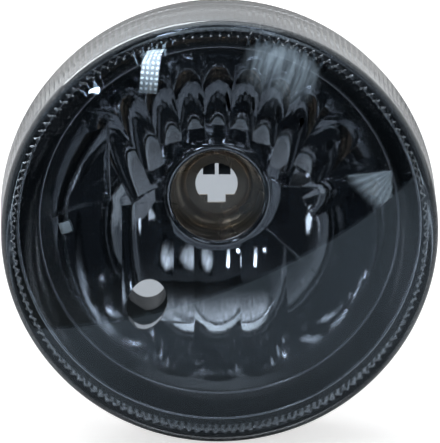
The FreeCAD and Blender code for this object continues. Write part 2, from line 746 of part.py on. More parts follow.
# Rubber breather elbow over a vent stub, turned down
def make_vent_elbow(label, side):
    across = f"({side} * {VENT_X})"
    turn = f"({VENT_REAR} + Dim.elbow_bend)"
    body = new_body(label)
    spine = new_sketch(body, label + "_spine", "YZ_Plane", across)
    path = [(ELBOW_START, "Dim.vent_z"), (VENT_REAR, "Dim.vent_z"),
            (turn, dims("vent_z - elbow_bend")), (turn, dims("vent_z - elbow_bend - elbow_tail"))]
    points = [V(value(x), value(y), 0) for x, y in path]
    bend = Part.Circle(V(points[1].x, points[2].y, 0), V(0, 0, 1), value("Dim.elbow_bend"))
    spine.addGeometry(Part.LineSegment(points[0], points[1]))
    spine.addGeometry(Part.ArcOfCircle(bend, bend.parameter(points[2]), bend.parameter(points[1])))
    spine.addGeometry(Part.LineSegment(points[2], points[3]))
    spine.addConstraint(Sketcher.Constraint("Coincident", 0, 2, 1, 2))
    spine.addConstraint(Sketcher.Constraint("Coincident", 1, 1, 2, 1))
    tie = spine.addConstraint(Sketcher.Constraint("Radius", 1, value("Dim.elbow_bend")))
    spine.setExpression(f"Constraints[{tie}]", "Dim.elbow_bend")
    for (geometry, end), (x, y) in zip(((0, 1), (0, 2), (2, 1), (2, 2)), path):
        place_point(spine, geometry, end, x, y)
    outer = new_sketch(body, label + "_section", "XZ_Plane", f"-{ELBOW_START}")
    ring(outer, across, "Dim.vent_z", ELBOW_OUT)
    sweep = body.newObject("PartDesign::AdditivePipe", label + "_wall")
    sweep.Profile = outer
    sweep.Spine = spine
    doc.recompute()
    inner = new_sketch(body, label + "_bore_section", "XZ_Plane", f"-{ELBOW_START}")
    ring(inner, across, "Dim.vent_z", ELBOW_BORE)
    drill = body.newObject("PartDesign::SubtractivePipe", label + "_bore")
    drill.Profile = inner
    drill.Spine = spine
    doc.recompute()
    return body


parts = [
    make_lens(),
    make_lens_seal(),
    make_bezel(),
    make_reflector(),
    make_housing(),
    make_neck_gasket(),
    make_bulb_seat(),
    make_bulb_collar(),
    make_collar_screws(),
    make_boss_inserts(),
    make_vent_elbow("vent_elbow_left", -1),
    make_vent_elbow("vent_elbow_right", 1),
]
doc.recompute()

for item in doc.Objects:
    if "Invalid" in item.State or "Error" in item.State:
        raise RuntimeError(f"{item.Label} has state {item.State}")
for item in parts:
    if item.Shape.isNull() or not item.Shape.isValid():
        raise RuntimeError(f"{item.Label} has no valid shape")
    item.Shape.exportStep(f"parts/{item.Label}.step")
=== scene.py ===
import math
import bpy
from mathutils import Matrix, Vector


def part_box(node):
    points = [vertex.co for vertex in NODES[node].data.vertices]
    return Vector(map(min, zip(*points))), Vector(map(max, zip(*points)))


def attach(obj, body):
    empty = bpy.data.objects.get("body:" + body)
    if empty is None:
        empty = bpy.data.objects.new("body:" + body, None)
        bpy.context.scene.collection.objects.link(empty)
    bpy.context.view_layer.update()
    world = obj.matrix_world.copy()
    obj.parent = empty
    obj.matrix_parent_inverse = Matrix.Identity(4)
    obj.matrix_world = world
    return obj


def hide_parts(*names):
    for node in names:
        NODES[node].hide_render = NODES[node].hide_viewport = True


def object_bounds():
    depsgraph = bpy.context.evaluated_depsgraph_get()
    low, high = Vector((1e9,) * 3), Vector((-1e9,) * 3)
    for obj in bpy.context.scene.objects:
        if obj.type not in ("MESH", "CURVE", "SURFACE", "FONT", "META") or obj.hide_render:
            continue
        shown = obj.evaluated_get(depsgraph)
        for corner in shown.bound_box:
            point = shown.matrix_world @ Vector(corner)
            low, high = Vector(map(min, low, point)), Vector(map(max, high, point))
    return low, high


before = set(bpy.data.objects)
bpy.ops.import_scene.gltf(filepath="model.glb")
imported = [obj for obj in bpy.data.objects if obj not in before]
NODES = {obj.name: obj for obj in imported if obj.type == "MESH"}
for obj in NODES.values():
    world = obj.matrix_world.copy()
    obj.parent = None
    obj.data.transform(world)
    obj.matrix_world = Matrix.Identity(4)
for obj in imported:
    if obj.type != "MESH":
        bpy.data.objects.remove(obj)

from types import SimpleNamespace

import bpy
from bpy.props import FloatProperty, FloatVectorProperty, IntProperty, PointerProperty
from bpy.types import Operator, Panel, PropertyGroup
from mathutils import Matrix, Vector

CAD_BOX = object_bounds()
FLOOR_LEVEL = CAD_BOX[0][2]
FLOOR_EDGE = (-0.094, -0.125, FLOOR_LEVEL)
FLOOR_EDGE_NORMAL = (0.650, 0.760, 0.0)
AIM = Vector((0.0, -0.07, 0.0))
CAMERA_PIVOT = Vector((0.0, -0.064, 0.0))
CAMERA_SHIFT = (0.00007, 0.00440)
MERGE = 1e-6
NEAR = 1e-5
POLE = 0.0002
SMOOTH_METAL = math.radians(35.0)
SMOOTH_GLASS = math.radians(30.0)

bl_info = {
    "name": "Scooter Headlight",
    "version": (1, 0, 0),
    "blender": (4, 5, 0),
    "location": "View3D > Sidebar > Headlight",
    "description": "Dresses the packed scooter headlight and sets up its studio",
    "category": "Add Mesh",
}


# ---------------------------------------------------------------- settings


def colour(name, description, default):
    """Colour that a user can change."""
    return FloatVectorProperty(name=name, description=description, default=default, size=3,
                               min=0.0, max=1.0, subtype="COLOR")


def length(name, description, default):
    """Length that a user can change."""
    return FloatProperty(name=name, description=description, default=default, min=0.0,
                         subtype="DISTANCE", unit="LENGTH")


class LensSettings(PropertyGroup):
    tint: colour("Smoke", "Light that one pass through the dome lets by", (0.41, 0.45, 0.495))
    skirt: colour("Skirt", "Light that one pass through the ribbed skirt lets by", (0.56, 0.62, 0.67))
    wall: length("Wall", "Thickness of the glass", 0.0030)
    dome: length("Dome Radius", "Radius of the dome's outside", 0.1900)
    shoulder: length("Shoulder Radius", "Outer radius of the rounding between dome and skirt", 0.0060)
    skirt_length: length("Skirt Length", "From the shoulder to the seam", 0.0260)
    draft: length("Draft", "How much wider the skirt is at the seam", 0.0015)
    tongue: length("Tongue", "Length of the tongue behind the seam", 0.0035)
    tongue_wall: length("Tongue Wall", "Thickness of the tongue", 0.0012)
    taper: length("Taper", "From the seam to where the inside begins to narrow", 0.0080)
    ribs: IntProperty(name="Ribs", description="Ribs around the skirt", default=192, min=3)
    rib_depth: length("Rib Depth", "Depth of the grooves between the ribs", 0.00036)
    teeth: IntProperty(name="Teeth", description="Teeth around the inside of the shoulder",
                       default=144, min=3)
    tooth_inset: length("Tooth Inset", "From the inside of the skirt to the roots of the teeth", 0.0011)
    tooth_height: length("Tooth Height", "From the roots of the teeth to their tips", 0.0016)


class MirrorSettings(PropertyGroup):
    chrome: colour("Chrome", "Metallised layer of the reflector", (0.66, 0.68, 0.71))
    bronze: colour("Bronze", "Passivated sheet of the bulb seat", (0.80, 0.63, 0.46))


class TrimSettings(PropertyGroup):
    trim: colour("Trim", "Dark metallised face of the trim ring", (0.095, 0.092, 0.090))
    # The beads' bright colour is a painted highlight along the ring's edges; the raised beads also catch real
    # light.
    painted_bead_highlight: colour("Beads", "Bright beads along the trim ring's edges", (0.80, 0.82, 0.85))
    inner: length("Inner Radius", "Radius of the lip on the reflector's flange", 0.0626)
    lip: length("Lip", "Height of the lip", 0.0012)
    land: length("Land", "Width of the flat front", 0.0026)
    wall: length("Wall", "Thickness of the ring's walls", 0.0016)
    bead: length("Bead", "Radius of the bead along each edge", 0.00045)
    sink: length("Sink", "Depth of the land behind the outer bead", 0.00070)


class FastenerSettings(PropertyGroup):
    brass: colour("Brass", "Threaded inserts", (0.70, 0.50, 0.20))
    zinc: colour("Zinc", "Plated screws", (0.60, 0.61, 0.62))
    screw_circle: length("Screw Circle", "Radius of the circle of collar screws", 0.0223)
    head: length("Head Radius", "Radius of a screw's head", 0.0027)
    head_height: length("Head Height", "Height of a screw's head", 0.0018)
    shank: length("Shank Radius", "Radius of a screw's shank", 0.0014)
    slot: length("Slot Width", "Width of the cross recess", 0.0007)
    slot_depth: length("Slot Depth", "Depth of the cross recess", 0.0013)
    boss_circle: length("Boss Circle", "Radius of the circle of threaded inserts", 0.0580)
    insert: length("Insert Radius", "Outer radius of a threaded insert", 0.00395)
    bore: length("Bore Radius", "Clear radius of the insert's thread", 0.0025)
    pitch: length("Thread Pitch", "Distance between thread crests", 0.0008)


class ShellSettings(PropertyGroup):
    plastic: colour("Plastic", "Black of the rear shell", (0.018, 0.018, 0.020))
    rubber: colour("Rubber", "Breather elbows and sealant", (0.022, 0.022, 0.023))


class StageSettings(PropertyGroup):
    azimuth: FloatProperty(name="Azimuth", description="Camera's angle to the side of the lamp's axis",
                           default=math.radians(-1.0), subtype="ANGLE", unit="ROTATION")
    elevation: FloatProperty(name="Elevation", description="Camera's angle above the lamp's axis",
                             default=math.radians(15.5), subtype="ANGLE", unit="ROTATION")
    distance: length("Distance", "From the camera to the lens's shoulder", 1.0)
    focal: FloatProperty(name="Focal Length", description="Camera's focal length on a 36 mm tall sensor",
                         default=233.9, subtype="DISTANCE_CAMERA", unit="CAMERA")
    floor: colour("Floor", "Colour of the floor", (0.62, 0.625, 0.63))
    lift: colour("Floor Lift", "Brings the seen floor up to white", (0.66, 0.655, 0.65))


# ---------------------------------------------------------------- shaping helpers


def turned(name, corners, sides, axis=(0.0, 0.0)):
    """Closed shape about a line along Y: rings through (radius, place) corners, joined end to end."""
    bpy.ops.object.select_all(action="DESELECT")
    radius, level = corners[0]
    centre = (axis[0], level, axis[1])
    bpy.ops.mesh.primitive_circle_add(vertices=sides, radius=radius, location=centre,
                                      rotation=(math.pi / 2, 0.0, 0.0))
    piece = bpy.context.object
    piece.name = name
    bpy.ops.object.transform_apply(location=True, rotation=True, scale=True)
    bpy.ops.object.mode_set(mode="EDIT")
    bpy.ops.mesh.select_mode(type="EDGE")
    bpy.ops.mesh.select_all(action="SELECT")
    for reach, stop in corners[1:] + corners[:1]:
        bpy.ops.mesh.extrude_edges_move()
        bpy.ops.transform.resize(value=(reach / radius, 1.0, reach / radius), center_override=centre)
        bpy.ops.transform.translate(value=(0.0, stop - level, 0.0))
        radius, level = reach, stop
    bpy.ops.mesh.select_all(action="SELECT")
    bpy.ops.mesh.remove_doubles(threshold=MERGE)
    bpy.ops.mesh.normals_make_consistent(inside=False)
    bpy.ops.object.mode_set(mode="OBJECT")
    return piece


def pick(piece, test):
    """Select the points that pass a test and leave the piece in edit mode."""
    bpy.ops.object.mode_set(mode="EDIT")
    bpy.ops.mesh.select_mode(type="VERT")
    bpy.ops.mesh.select_all(action="DESELECT")
    bpy.ops.object.mode_set(mode="OBJECT")
    for point in piece.data.vertices:
        point.select = test(point.co)
    bpy.ops.object.mode_set(mode="EDIT")


def copied(piece, name, move):
    """Copy of a piece with its own mesh, moved across the axis."""
    bpy.ops.object.select_all(action="DESELECT")
    piece.select_set(True)
    bpy.context.view_layer.objects.active = piece
    bpy.ops.object.duplicate(linked=False)
    copy = bpy.context.object
    copy.name = name
    bpy.ops.transform.translate(value=(move[0], 0.0, move[1]))
    bpy.ops.object.transform_apply(location=True, rotation=False, scale=False)
    return copy


def combine(piece, tool, operation):
    """Cut a tool out of a piece or join it on, and take the tool away."""
    step = piece.modifiers.new("combine", "BOOLEAN")
    step.operation = operation
    step.object = tool
    bpy.context.view_layer.objects.active = piece
    bpy.ops.object.modifier_apply(modifier=step.name)
    bpy.data.objects.remove(tool, do_unlink=True)


def fit(piece, node, material):
    """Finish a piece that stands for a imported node."""
    piece.data.materials.clear()
    piece.data.materials.append(material)
    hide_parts(node)
    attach(piece, "root")


# ---------------------------------------------------------------- node helpers


def add(tree, kind, **values):
    """New shader node with its attributes set."""
    node = tree.nodes.new(kind)
    for key, value in values.items():
        setattr(node, key, value)
    return node


def maths(tree, operation, first, second=None, third=None):
    """Math node on sockets or plain numbers; returns its result."""
    node = add(tree, "ShaderNodeMath", operation=operation)
    for socket, value in zip(node.inputs, (first, second, third)):
        if isinstance(value, bpy.types.NodeSocket):
            tree.links.new(value, socket)
        elif value is not None:
            socket.default_value = value
    return node.outputs[0]


def blend(tree, mask, first, second):
    """Colour mix by a mask; colours are sockets or three numbers."""
    node = add(tree, "ShaderNodeMix", data_type="RGBA")
    tree.links.new(mask, node.inputs["Factor"])
    for socket, value in ((node.inputs[6], first), (node.inputs[7], second)):
        if isinstance(value, bpy.types.NodeSocket):
            tree.links.new(value, socket)
        else:
            socket.default_value = (*value, 1.0)
    return node.outputs[2]


def ramp(tree, value, low, high, start=0.0, stop=1.0):
    """Smooth change from start to stop while value goes from low to high."""
    node = add(tree, "ShaderNodeMapRange", interpolation_type="SMOOTHSTEP")
    tree.links.new(value, node.inputs["Value"])
    for name, number in (("From Min", low), ("From Max", high), ("To Min", start), ("To Max", stop)):
        node.inputs[name].default_value = number
    return node.outputs["Result"]


def place(tree):
    """Object coordinates and their three parts."""
    coords = add(tree, "ShaderNodeTexCoord").outputs["Object"]
    parts = add(tree, "ShaderNodeSeparateXYZ")
    tree.links.new(coords, parts.inputs[0])
    return coords, parts.outputs


def from_axis(tree, x, z):
    """Distance from the lamp's axis."""
    across, along = maths(tree, "MULTIPLY", x, x), maths(tree, "MULTIPLY", z, z)
    return maths(tree, "SQRT", maths(tree, "ADD", across, along))


def noise(tree, coords, scale, detail=3.0):
    """Soft noise over coordinates."""
    node = add(tree, "ShaderNodeTexNoise")
    tree.links.new(coords, node.inputs["Vector"])
    node.inputs["Scale"].default_value = scale
    node.inputs["Detail"].default_value = detail
    node.inputs["Roughness"].default_value = 0.55
    return node.outputs["Fac"]


def bump(tree, height, distance, strength=1.0, edge=None):
    """Normal from a height; with an edge radius, corners also look rounded."""
    node = add(tree, "ShaderNodeBump")
    tree.links.new(height, node.inputs["Height"])
    if edge:
        soft = add(tree, "ShaderNodeBevel", samples=6)
        soft.inputs["Radius"].default_value = edge
        tree.links.new(soft.outputs["Normal"], node.inputs["Normal"])
    node.inputs["Distance"].default_value = distance
    node.inputs["Strength"].default_value = strength
    return node.outputs["Normal"]


def new_material(name, **sockets):
    """Material with one Principled shader whose constant sockets are set by name."""
    material = bpy.data.materials.new(name)
    material.use_nodes = True
    tree = material.node_tree
    tree.nodes.clear()
    output = tree.nodes.new("ShaderNodeOutputMaterial")
    shader = tree.nodes.new("ShaderNodeBsdfPrincipled")
    tree.links.new(shader.outputs[0], output.inputs["Surface"])
    for key, value in sockets.items():
        shader.inputs[key.replace("_", " ").title().replace("Ior", "IOR")].default_value = value
    return material, tree, shader


def new_group(name, inputs, outputs):
    """Empty shader node group with float inputs and outputs."""
    tree = bpy.data.node_groups.new(name, "ShaderNodeTree")
    for label, default in inputs:
        socket = tree.interface.new_socket(label, in_out="INPUT", socket_type="NodeSocketFloat")
        socket.default_value = default
    for label in outputs:
        tree.interface.new_socket(label, in_out="OUTPUT", socket_type="NodeSocketFloat")
    return tree, tree.nodes.new("NodeGroupInput").outputs, tree.nodes.new("NodeGroupOutput").inputs


def use_group(tree, name, **values):
    """Place a shared effect with its own values; returns its outputs."""
    node = tree.nodes.new("ShaderNodeGroup")
    node.node_tree = bpy.data.node_groups[name]
    for key, value in values.items():
        node.inputs[key.replace("_", " ").title()].default_value = value
    return node.outputs


def dress(name, material):
    """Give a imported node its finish."""
    slots = NODES[name].data.materials
    slots.clear()
    slots.append(material)


# ---------------------------------------------------------------- shared effects


def build_effects():
    """Node groups that several finishes use."""
    build_grain()
    build_wear()
    build_dust()
    build_smudges()


def build_grain():
    """Pits of a moulded surface and patches of different sheen."""
    tree, given, result = new_group("Moulded Grain", [("Scale", 900.0)], ["Height", "Sheen"])
    coords, _ = place(tree)
    pits = add(tree, "ShaderNodeTexVoronoi")
    tree.links.new(coords, pits.inputs["Vector"])
    tree.links.new(given["Scale"], pits.inputs["Scale"])
    tree.links.new(pits.outputs["Distance"], result["Height"])
    cloud = noise(tree, coords, 45.0)
    tree.links.new(ramp(tree, cloud, 0.3, 0.7), result["Sheen"])


def build_wear():
    """Worn edges, broken up into patches."""
    tree, given, result = new_group("Edge Wear", [("Radius", 0.0006), ("Break", 160.0)], ["Mask"])
    coords, _ = place(tree)
    soft = add(tree, "ShaderNodeBevel", samples=4)
    tree.links.new(given["Radius"], soft.inputs["Radius"])
    plain = add(tree, "ShaderNodeNewGeometry").outputs["Normal"]
    turn = add(tree, "ShaderNodeVectorMath", operation="DOT_PRODUCT")
    tree.links.new(soft.outputs["Normal"], turn.inputs[0])
    tree.links.new(plain, turn.inputs[1])
    edge = ramp(tree, turn.outputs["Value"], 0.97, 0.80)
    patches = add(tree, "ShaderNodeTexNoise")
    tree.links.new(coords, patches.inputs["Vector"])
    tree.links.new(given["Break"], patches.inputs["Scale"])
    broken = ramp(tree, patches.outputs["Fac"], 0.4, 0.65)
    tree.links.new(maths(tree, "MULTIPLY", edge, broken), result["Mask"])


def build_dust():
    """Specks and a haze of dust, most of it on faces that look up."""
    tree, given, result = new_group("Dust", [("Amount", 0.3)], ["Mask"])
    coords, _ = place(tree)
    normal = add(tree, "ShaderNodeSeparateXYZ")
    tree.links.new(add(tree, "ShaderNodeNewGeometry").outputs["Normal"], normal.inputs[0])
    up = ramp(tree, normal.outputs["Z"], 0.1, 1.0, 0.15, 1.0)
    specks = ramp(tree, noise(tree, coords, 700.0, 2.0), 0.5, 0.75)
    cloud = ramp(tree, noise(tree, coords, 28.0), 0.35, 0.75)
    both = maths(tree, "MULTIPLY", up, maths(tree, "MAXIMUM", specks, cloud))
    tree.links.new(maths(tree, "MULTIPLY", both, given["Amount"]), result["Mask"])


def build_smudges():
    """Soft drawn-out smears."""
    tree, given, result = new_group("Smudges", [("Scale", 22.0)], ["Mask"])
    coords, _ = place(tree)
    cloud = add(tree, "ShaderNodeTexNoise")
    tree.links.new(coords, cloud.inputs["Vector"])
    tree.links.new(given["Scale"], cloud.inputs["Scale"])
    cloud.inputs["Detail"].default_value = 4.0
    cloud.inputs["Distortion"].default_value = 0.6
    tree.links.new(ramp(tree, cloud.outputs["Fac"], 0.42, 0.70), result["Mask"])


# ---------------------------------------------------------------- finishes


def smoked_lens(settings):
    """Clear smoked glass, paler and duller on the skirt."""
    material, tree, shader = new_material("smoked_lens", transmission_weight=1.0, ior=1.49,
                                          specular_tint=(0.66, 0.84, 1.0, 1.0))
    coords, (_, y, _) = place(tree)
    skirt_start, skirt_full = -0.0650, -0.0635
    skirt = ramp(tree, y, skirt_start, skirt_full)
    base = blend(tree, skirt, tuple(settings.tint), tuple(settings.skirt))
    tree.links.new(base, shader.inputs["Base Color"])
    smear = use_group(tree, "Smudges")["Mask"]
    clear = maths(tree, "MULTIPLY_ADD", smear, 0.03, 0.012)
    tree.links.new(maths(tree, "MULTIPLY_ADD", skirt, 0.12, clear), shader.inputs["Roughness"])
    height = maths(tree, "MULTIPLY", noise(tree, coords, 130.0), skirt)
    tree.links.new(bump(tree, height, 0.00006), shader.inputs["Normal"])
    return material


def dark_chrome(settings):
    """Metallised bowl with a dark rim, a little smeared and dusty."""
    material, tree, shader = new_material("dark_chrome", metallic=1.0)
    coords, (x, _, z) = place(tree)
    rim_start, rim_full = 0.0580, 0.0595
    rim = ramp(tree, from_axis(tree, x, z), rim_start, rim_full)
    smear = use_group(tree, "Smudges", scale=30.0)["Mask"]
    dust = use_group(tree, "Dust", amount=0.10)["Mask"]
    tint = blend(tree, smear, tuple(settings.chrome), tuple(0.9 * c for c in settings.chrome))
    tint = blend(tree, rim, tint, tuple(0.14 * c for c in settings.chrome))
    tree.links.new(blend(tree, dust, tint, (0.35, 0.35, 0.34)), shader.inputs["Base Color"])
    rough = maths(tree, "MULTIPLY_ADD", rim, 0.15, maths(tree, "MULTIPLY_ADD", smear, 0.035, 0.045))
    rough = maths(tree, "ADD", rough, maths(tree, "MULTIPLY", dust, 0.5))
    tree.links.new(rough, shader.inputs["Roughness"])
    ripple = noise(tree, coords, 260.0, 2.0)
    tree.links.new(bump(tree, ripple, 0.00002, edge=0.0005), shader.inputs["Normal"])
    return material


def dark_trim(settings):
    """Dark metallised ring; its beads get a bright colour, a painted highlight added to the real light their
    rounded shape catches.
    """
    material, tree, shader = new_material("dark_trim", metallic=1.0)
    coords, (x, _, z) = place(tree)
    smear = use_group(tree, "Smudges", scale=18.0)["Mask"]
    reach = from_axis(tree, x, z)
    outer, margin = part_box("bezel")[1][0], 1.2 * settings.bead
    first = maths(tree, "COMPARE", reach, settings.inner + settings.bead, margin)
    second = maths(tree, "COMPARE", reach, outer - settings.land, margin)
    painted_highlight_beads = maths(tree, "MAXIMUM", first, second)
    base = blend(tree, smear, tuple(settings.trim), tuple(0.85 * c for c in settings.trim))
    # Bright colour on the beads: painted highlight along the ring's edges, on top of the real light the
    # raised beads catch.
    tree.links.new(blend(tree, painted_highlight_beads, base, tuple(settings.painted_bead_highlight)), shader.inputs["Base Color"])
    tree.links.new(maths(tree, "MULTIPLY_ADD", smear, 0.06, 0.12), shader.inputs["Roughness"])
    tree.links.new(bump(tree, noise(tree, coords, 60.0, 2.0), 0.00002), shader.inputs["Normal"])
    return material


def bronze_sheet(settings):
    """Spun brown sheet with worn edges."""
    material, tree, shader = new_material("bronze_sheet", metallic=1.0)
    _, (x, _, z) = place(tree)
    spin_marks = 9000.0
    rings = maths(tree, "SINE", maths(tree, "MULTIPLY", from_axis(tree, x, z), spin_marks))
    stain = use_group(tree, "Smudges", scale=60.0)["Mask"]
    wear = use_group(tree, "Edge Wear", radius=0.0004)["Mask"]
    base = blend(tree, stain, tuple(settings.bronze), tuple(0.7 * c for c in settings.bronze))
    tree.links.new(blend(tree, wear, base, (0.62, 0.60, 0.55)), shader.inputs["Base Color"])
    tree.links.new(maths(tree, "MULTIPLY_ADD", stain, 0.12, 0.24), shader.inputs["Roughness"])
    tree.links.new(bump(tree, rings, 0.000004), shader.inputs["Normal"])
    return material


def black_plastic(settings, name="black_plastic", shade=1.0, grain=900.0):
    """Moulded black plastic with a fine grain, worn edges and dust."""
    material, tree, shader = new_material(name, ior=1.48)
    skin = use_group(tree, "Moulded Grain", scale=grain)
    wear = use_group(tree, "Edge Wear", radius=0.0007)["Mask"]
    dust = use_group(tree, "Dust", amount=0.12)["Mask"]
    plain = tuple(shade * c for c in settings.plastic)
    base = blend(tree, wear, plain, (0.075, 0.075, 0.078))
    tree.links.new(blend(tree, dust, base, (0.12, 0.116, 0.11)), shader.inputs["Base Color"])
    rough = maths(tree, "MULTIPLY_ADD", skin["Sheen"], 0.14, 0.46)
    rough = maths(tree, "ADD", rough, maths(tree, "MULTIPLY", dust, 0.3))
    tree.links.new(rough, shader.inputs["Roughness"])
    tree.links.new(bump(tree, skin["Height"], 0.00008, 0.35), shader.inputs["Normal"])
    return material


def soft_rubber(settings, name="soft_rubber", shade=1.0):
    """Dull rubber that holds dust."""
    material, tree, shader = new_material(name, ior=1.5)
    skin = use_group(tree, "Moulded Grain", scale=1400.0)
    dust = use_group(tree, "Dust", amount=0.35)["Mask"]
    plain = tuple(shade * c for c in settings.rubber)
    tree.links.new(blend(tree, dust, plain, (0.13, 0.125, 0.115)), shader.inputs["Base Color"])
    tree.links.new(maths(tree, "MULTIPLY_ADD", skin["Sheen"], 0.15, 0.58), shader.inputs["Roughness"])
    tree.links.new(bump(tree, skin["Height"], 0.00006, 0.4), shader.inputs["Normal"])
    return material


def closed_foam():
    """Dark foam with small cells."""
    material, tree, shader = new_material("closed_foam", ior=1.4)
    coords, _ = place(tree)
    cells = add(tree, "ShaderNodeTexVoronoi")
    tree.links.new(coords, cells.inputs["Vector"])
    cells.inputs["Scale"].default_value = 1600.0
    tone = ramp(tree, cells.outputs["Distance"], 0.1, 0.6)
    base = blend(tree, tone, (0.018, 0.018, 0.019), (0.055, 0.055, 0.058))
    tree.links.new(base, shader.inputs["Base Color"])
    tree.links.new(maths(tree, "MULTIPLY_ADD", tone, 0.1, 0.8), shader.inputs["Roughness"])
    tree.links.new(bump(tree, tone, 0.0003), shader.inputs["Normal"])
    return material


def turned_metal(name, tint, dull, rough):
    """Metal with fine lathe marks and stains."""
    material, tree, shader = new_material(name, metallic=1.0)
    _, (_, y, _) = place(tree)
    stain = use_group(tree, "Smudges", scale=120.0)["Mask"]
    lathe_marks = 14000.0
    lathe = maths(tree, "SINE", maths(tree, "MULTIPLY", y, lathe_marks))
    base = blend(tree, stain, tuple(tint), tuple(dull * c for c in tint))
    tree.links.new(base, shader.inputs["Base Color"])
    tree.links.new(maths(tree, "MULTIPLY_ADD", stain, 0.15, rough), shader.inputs["Roughness"])
    tree.links.new(bump(tree, lathe, 0.000006), shader.inputs["Normal"])
    return material


# ---------------------------------------------------------------- lens


class HEADLIGHT_OT_lens(Operator):
    """Model the smoked lens with its ribbed skirt and the teeth inside its shoulder"""
    bl_idname = "headlight.lens"
    bl_label = "Lens"

    def execute(self, context):
        settings = context.scene.headlight_lens
        columns = math.lcm(3 * settings.ribs, 4 * settings.teeth)
        lens = turned("ribbed_lens", lens_outline(settings), columns)
        close_poles(lens, settings)
        cut_ribs(lens, settings, columns)
        raise_teeth(lens, settings, columns)
        bpy.ops.object.shade_smooth_by_angle(angle=SMOOTH_GLASS)
        fit(lens, "lens", smoked_lens(settings))
        return {"FINISHED"}


def lens_places(settings):
    """Radii of rim, inside, tooth roots and shoulder ring, and places of seam, ring and dome centre."""
    (_, apex, _), (rim, tail, _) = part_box("lens")
    seam = tail - settings.tongue
    inside = rim - settings.wall
    return SimpleNamespace(
        rim=rim,
        inside=inside,
        root=inside - settings.draft - settings.tooth_inset,
        seam=seam,
        ring=rim - settings.draft - settings.shoulder,
        level=seam - settings.skirt_length,
        centre=apex + settings.dome,
    )


def inner_face(radius, settings):
    """Place of the inside of the dome or shoulder at a distance from the axis."""
    at = lens_places(settings)
    inside = settings.dome - settings.wall
    edge = at.ring * inside / (settings.dome - settings.shoulder)
    if radius < edge:
        return at.centre - math.sqrt(inside ** 2 - radius ** 2)
    return at.level - math.sqrt((settings.shoulder - settings.wall) ** 2 - (radius - at.ring) ** 2)


def lens_outline(settings):
    """Corners of the lens from the outer pole over the skirt and the tongue to the inner pole."""
    at = lens_places(settings)
    rings, steps, bands = 16, 8, 4
    edge = at.ring * settings.dome / (settings.dome - settings.shoulder)
    lean = math.asin((edge - at.ring) / settings.shoulder)
    corners = []
    for k in range(rings):
        radius = POLE + (edge - POLE) * k / rings
        corners.append((radius, at.centre - math.sqrt(settings.dome ** 2 - radius ** 2)))
    for k in range(steps):
        turn = lean + (math.pi / 2 - lean) * k / steps
        corners.append((at.ring + settings.shoulder * math.sin(turn),
                        at.level - settings.shoulder * math.cos(turn)))
    for k in range(bands + 1):
        corners.append((at.rim - settings.draft * (1 - k / bands),
                        at.level + settings.skirt_length * k / bands))
    corners += [
        (at.inside + settings.tongue_wall, at.seam),
        (at.inside + settings.tongue_wall, at.seam + settings.tongue),
        (at.inside, at.seam + settings.tongue),
        (at.inside, at.seam - settings.taper),
        (at.inside - settings.draft, at.level),
        (at.root, at.level),
        (at.root, inner_face(at.root, settings)),
    ]
    bare = 0.0006
    last = at.root - settings.tooth_height - bare
    for k in range(rings):
        radius = last + (POLE - last) * k / (rings - 1)
        corners.append((radius, inner_face(radius, settings)))
    return corners


def off_axis(co):
    """Distance of a point from the lamp's axis."""
    return math.hypot(co.x, co.z)


def column(co, columns):
    """Number of the column of points around the axis."""
    return round(math.atan2(co.x, co.z) / (2 * math.pi) * columns) % columns


def narrow(share):
    """Draw the selected points towards the lamp's axis."""
    bpy.ops.transform.resize(value=(share, 1.0, share), center_override=(0.0, 0.0, 0.0))


def close_poles(lens, settings):
    """Draw the two small rings on the axis together."""
    middle = lens_places(settings).centre - settings.dome + settings.wall / 2
    for side in (-1, 1):
        pick(lens, lambda co: off_axis(co) < 1.5 * POLE and side * (co.y - middle) > 0)
        bpy.ops.mesh.merge(type="CENTER")
        bpy.ops.object.mode_set(mode="OBJECT")
    bpy.ops.object.mode_set(mode="EDIT")
    bpy.ops.mesh.select_all(action="SELECT")
    bpy.ops.mesh.delete_loose(use_verts=True, use_edges=True, use_faces=False)
    bpy.ops.mesh.select_all(action="SELECT")
    bpy.ops.mesh.normals_make_consistent(inside=False)
    bpy.ops.object.mode_set(mode="OBJECT")


def cut_ribs(lens, settings, columns):
    """Draw every so many columns of the skirt's outside inwards."""
    at = lens_places(settings)
    spacing = columns // settings.ribs
    margin = 0.1 * settings.skirt_length
    low, high = at.level + margin, at.seam - margin
    pick(lens, lambda co: low < co.y < high and off_axis(co) > at.rim - settings.draft
         and column(co, columns) % spacing == 0)
    narrow(1 - settings.rib_depth / at.rim)
    bpy.ops.object.mode_set(mode="OBJECT")


def raise_teeth(lens, settings, columns):
    """Draw the ring inside the shoulder out into pointed teeth."""
    at = lens_places(settings)
    spacing = columns // settings.teeth
    tips, flanks = (0,), (1, spacing - 1)
    foot = inner_face(at.root, settings)
    for share, steps in ((1.0, tips), (0.5, flanks)):
        reach = at.root - share * settings.tooth_height
        for start, shift in ((at.level, 0.0), (foot, inner_face(reach, settings) - foot)):
            pick(lens, lambda co: abs(off_axis(co) - at.root) < NEAR and abs(co.y - start) < NEAR
                 and column(co, columns) % spacing in steps)
            narrow(reach / at.root)
            bpy.ops.transform.translate(value=(0.0, shift, 0.0))
            bpy.ops.object.mode_set(mode="OBJECT")


# ---------------------------------------------------------------- reflector and trim


class HEADLIGHT_OT_mirror(Operator):
    """Dress the reflector and the bulb seat"""
    bl_idname = "headlight.mirror"
    bl_label = "Reflector"

    def execute(self, context):
        settings = context.scene.headlight_mirror
        dress("reflector", dark_chrome(settings))
        dress("bulb_seat", bronze_sheet(settings))
        return {"FINISHED"}


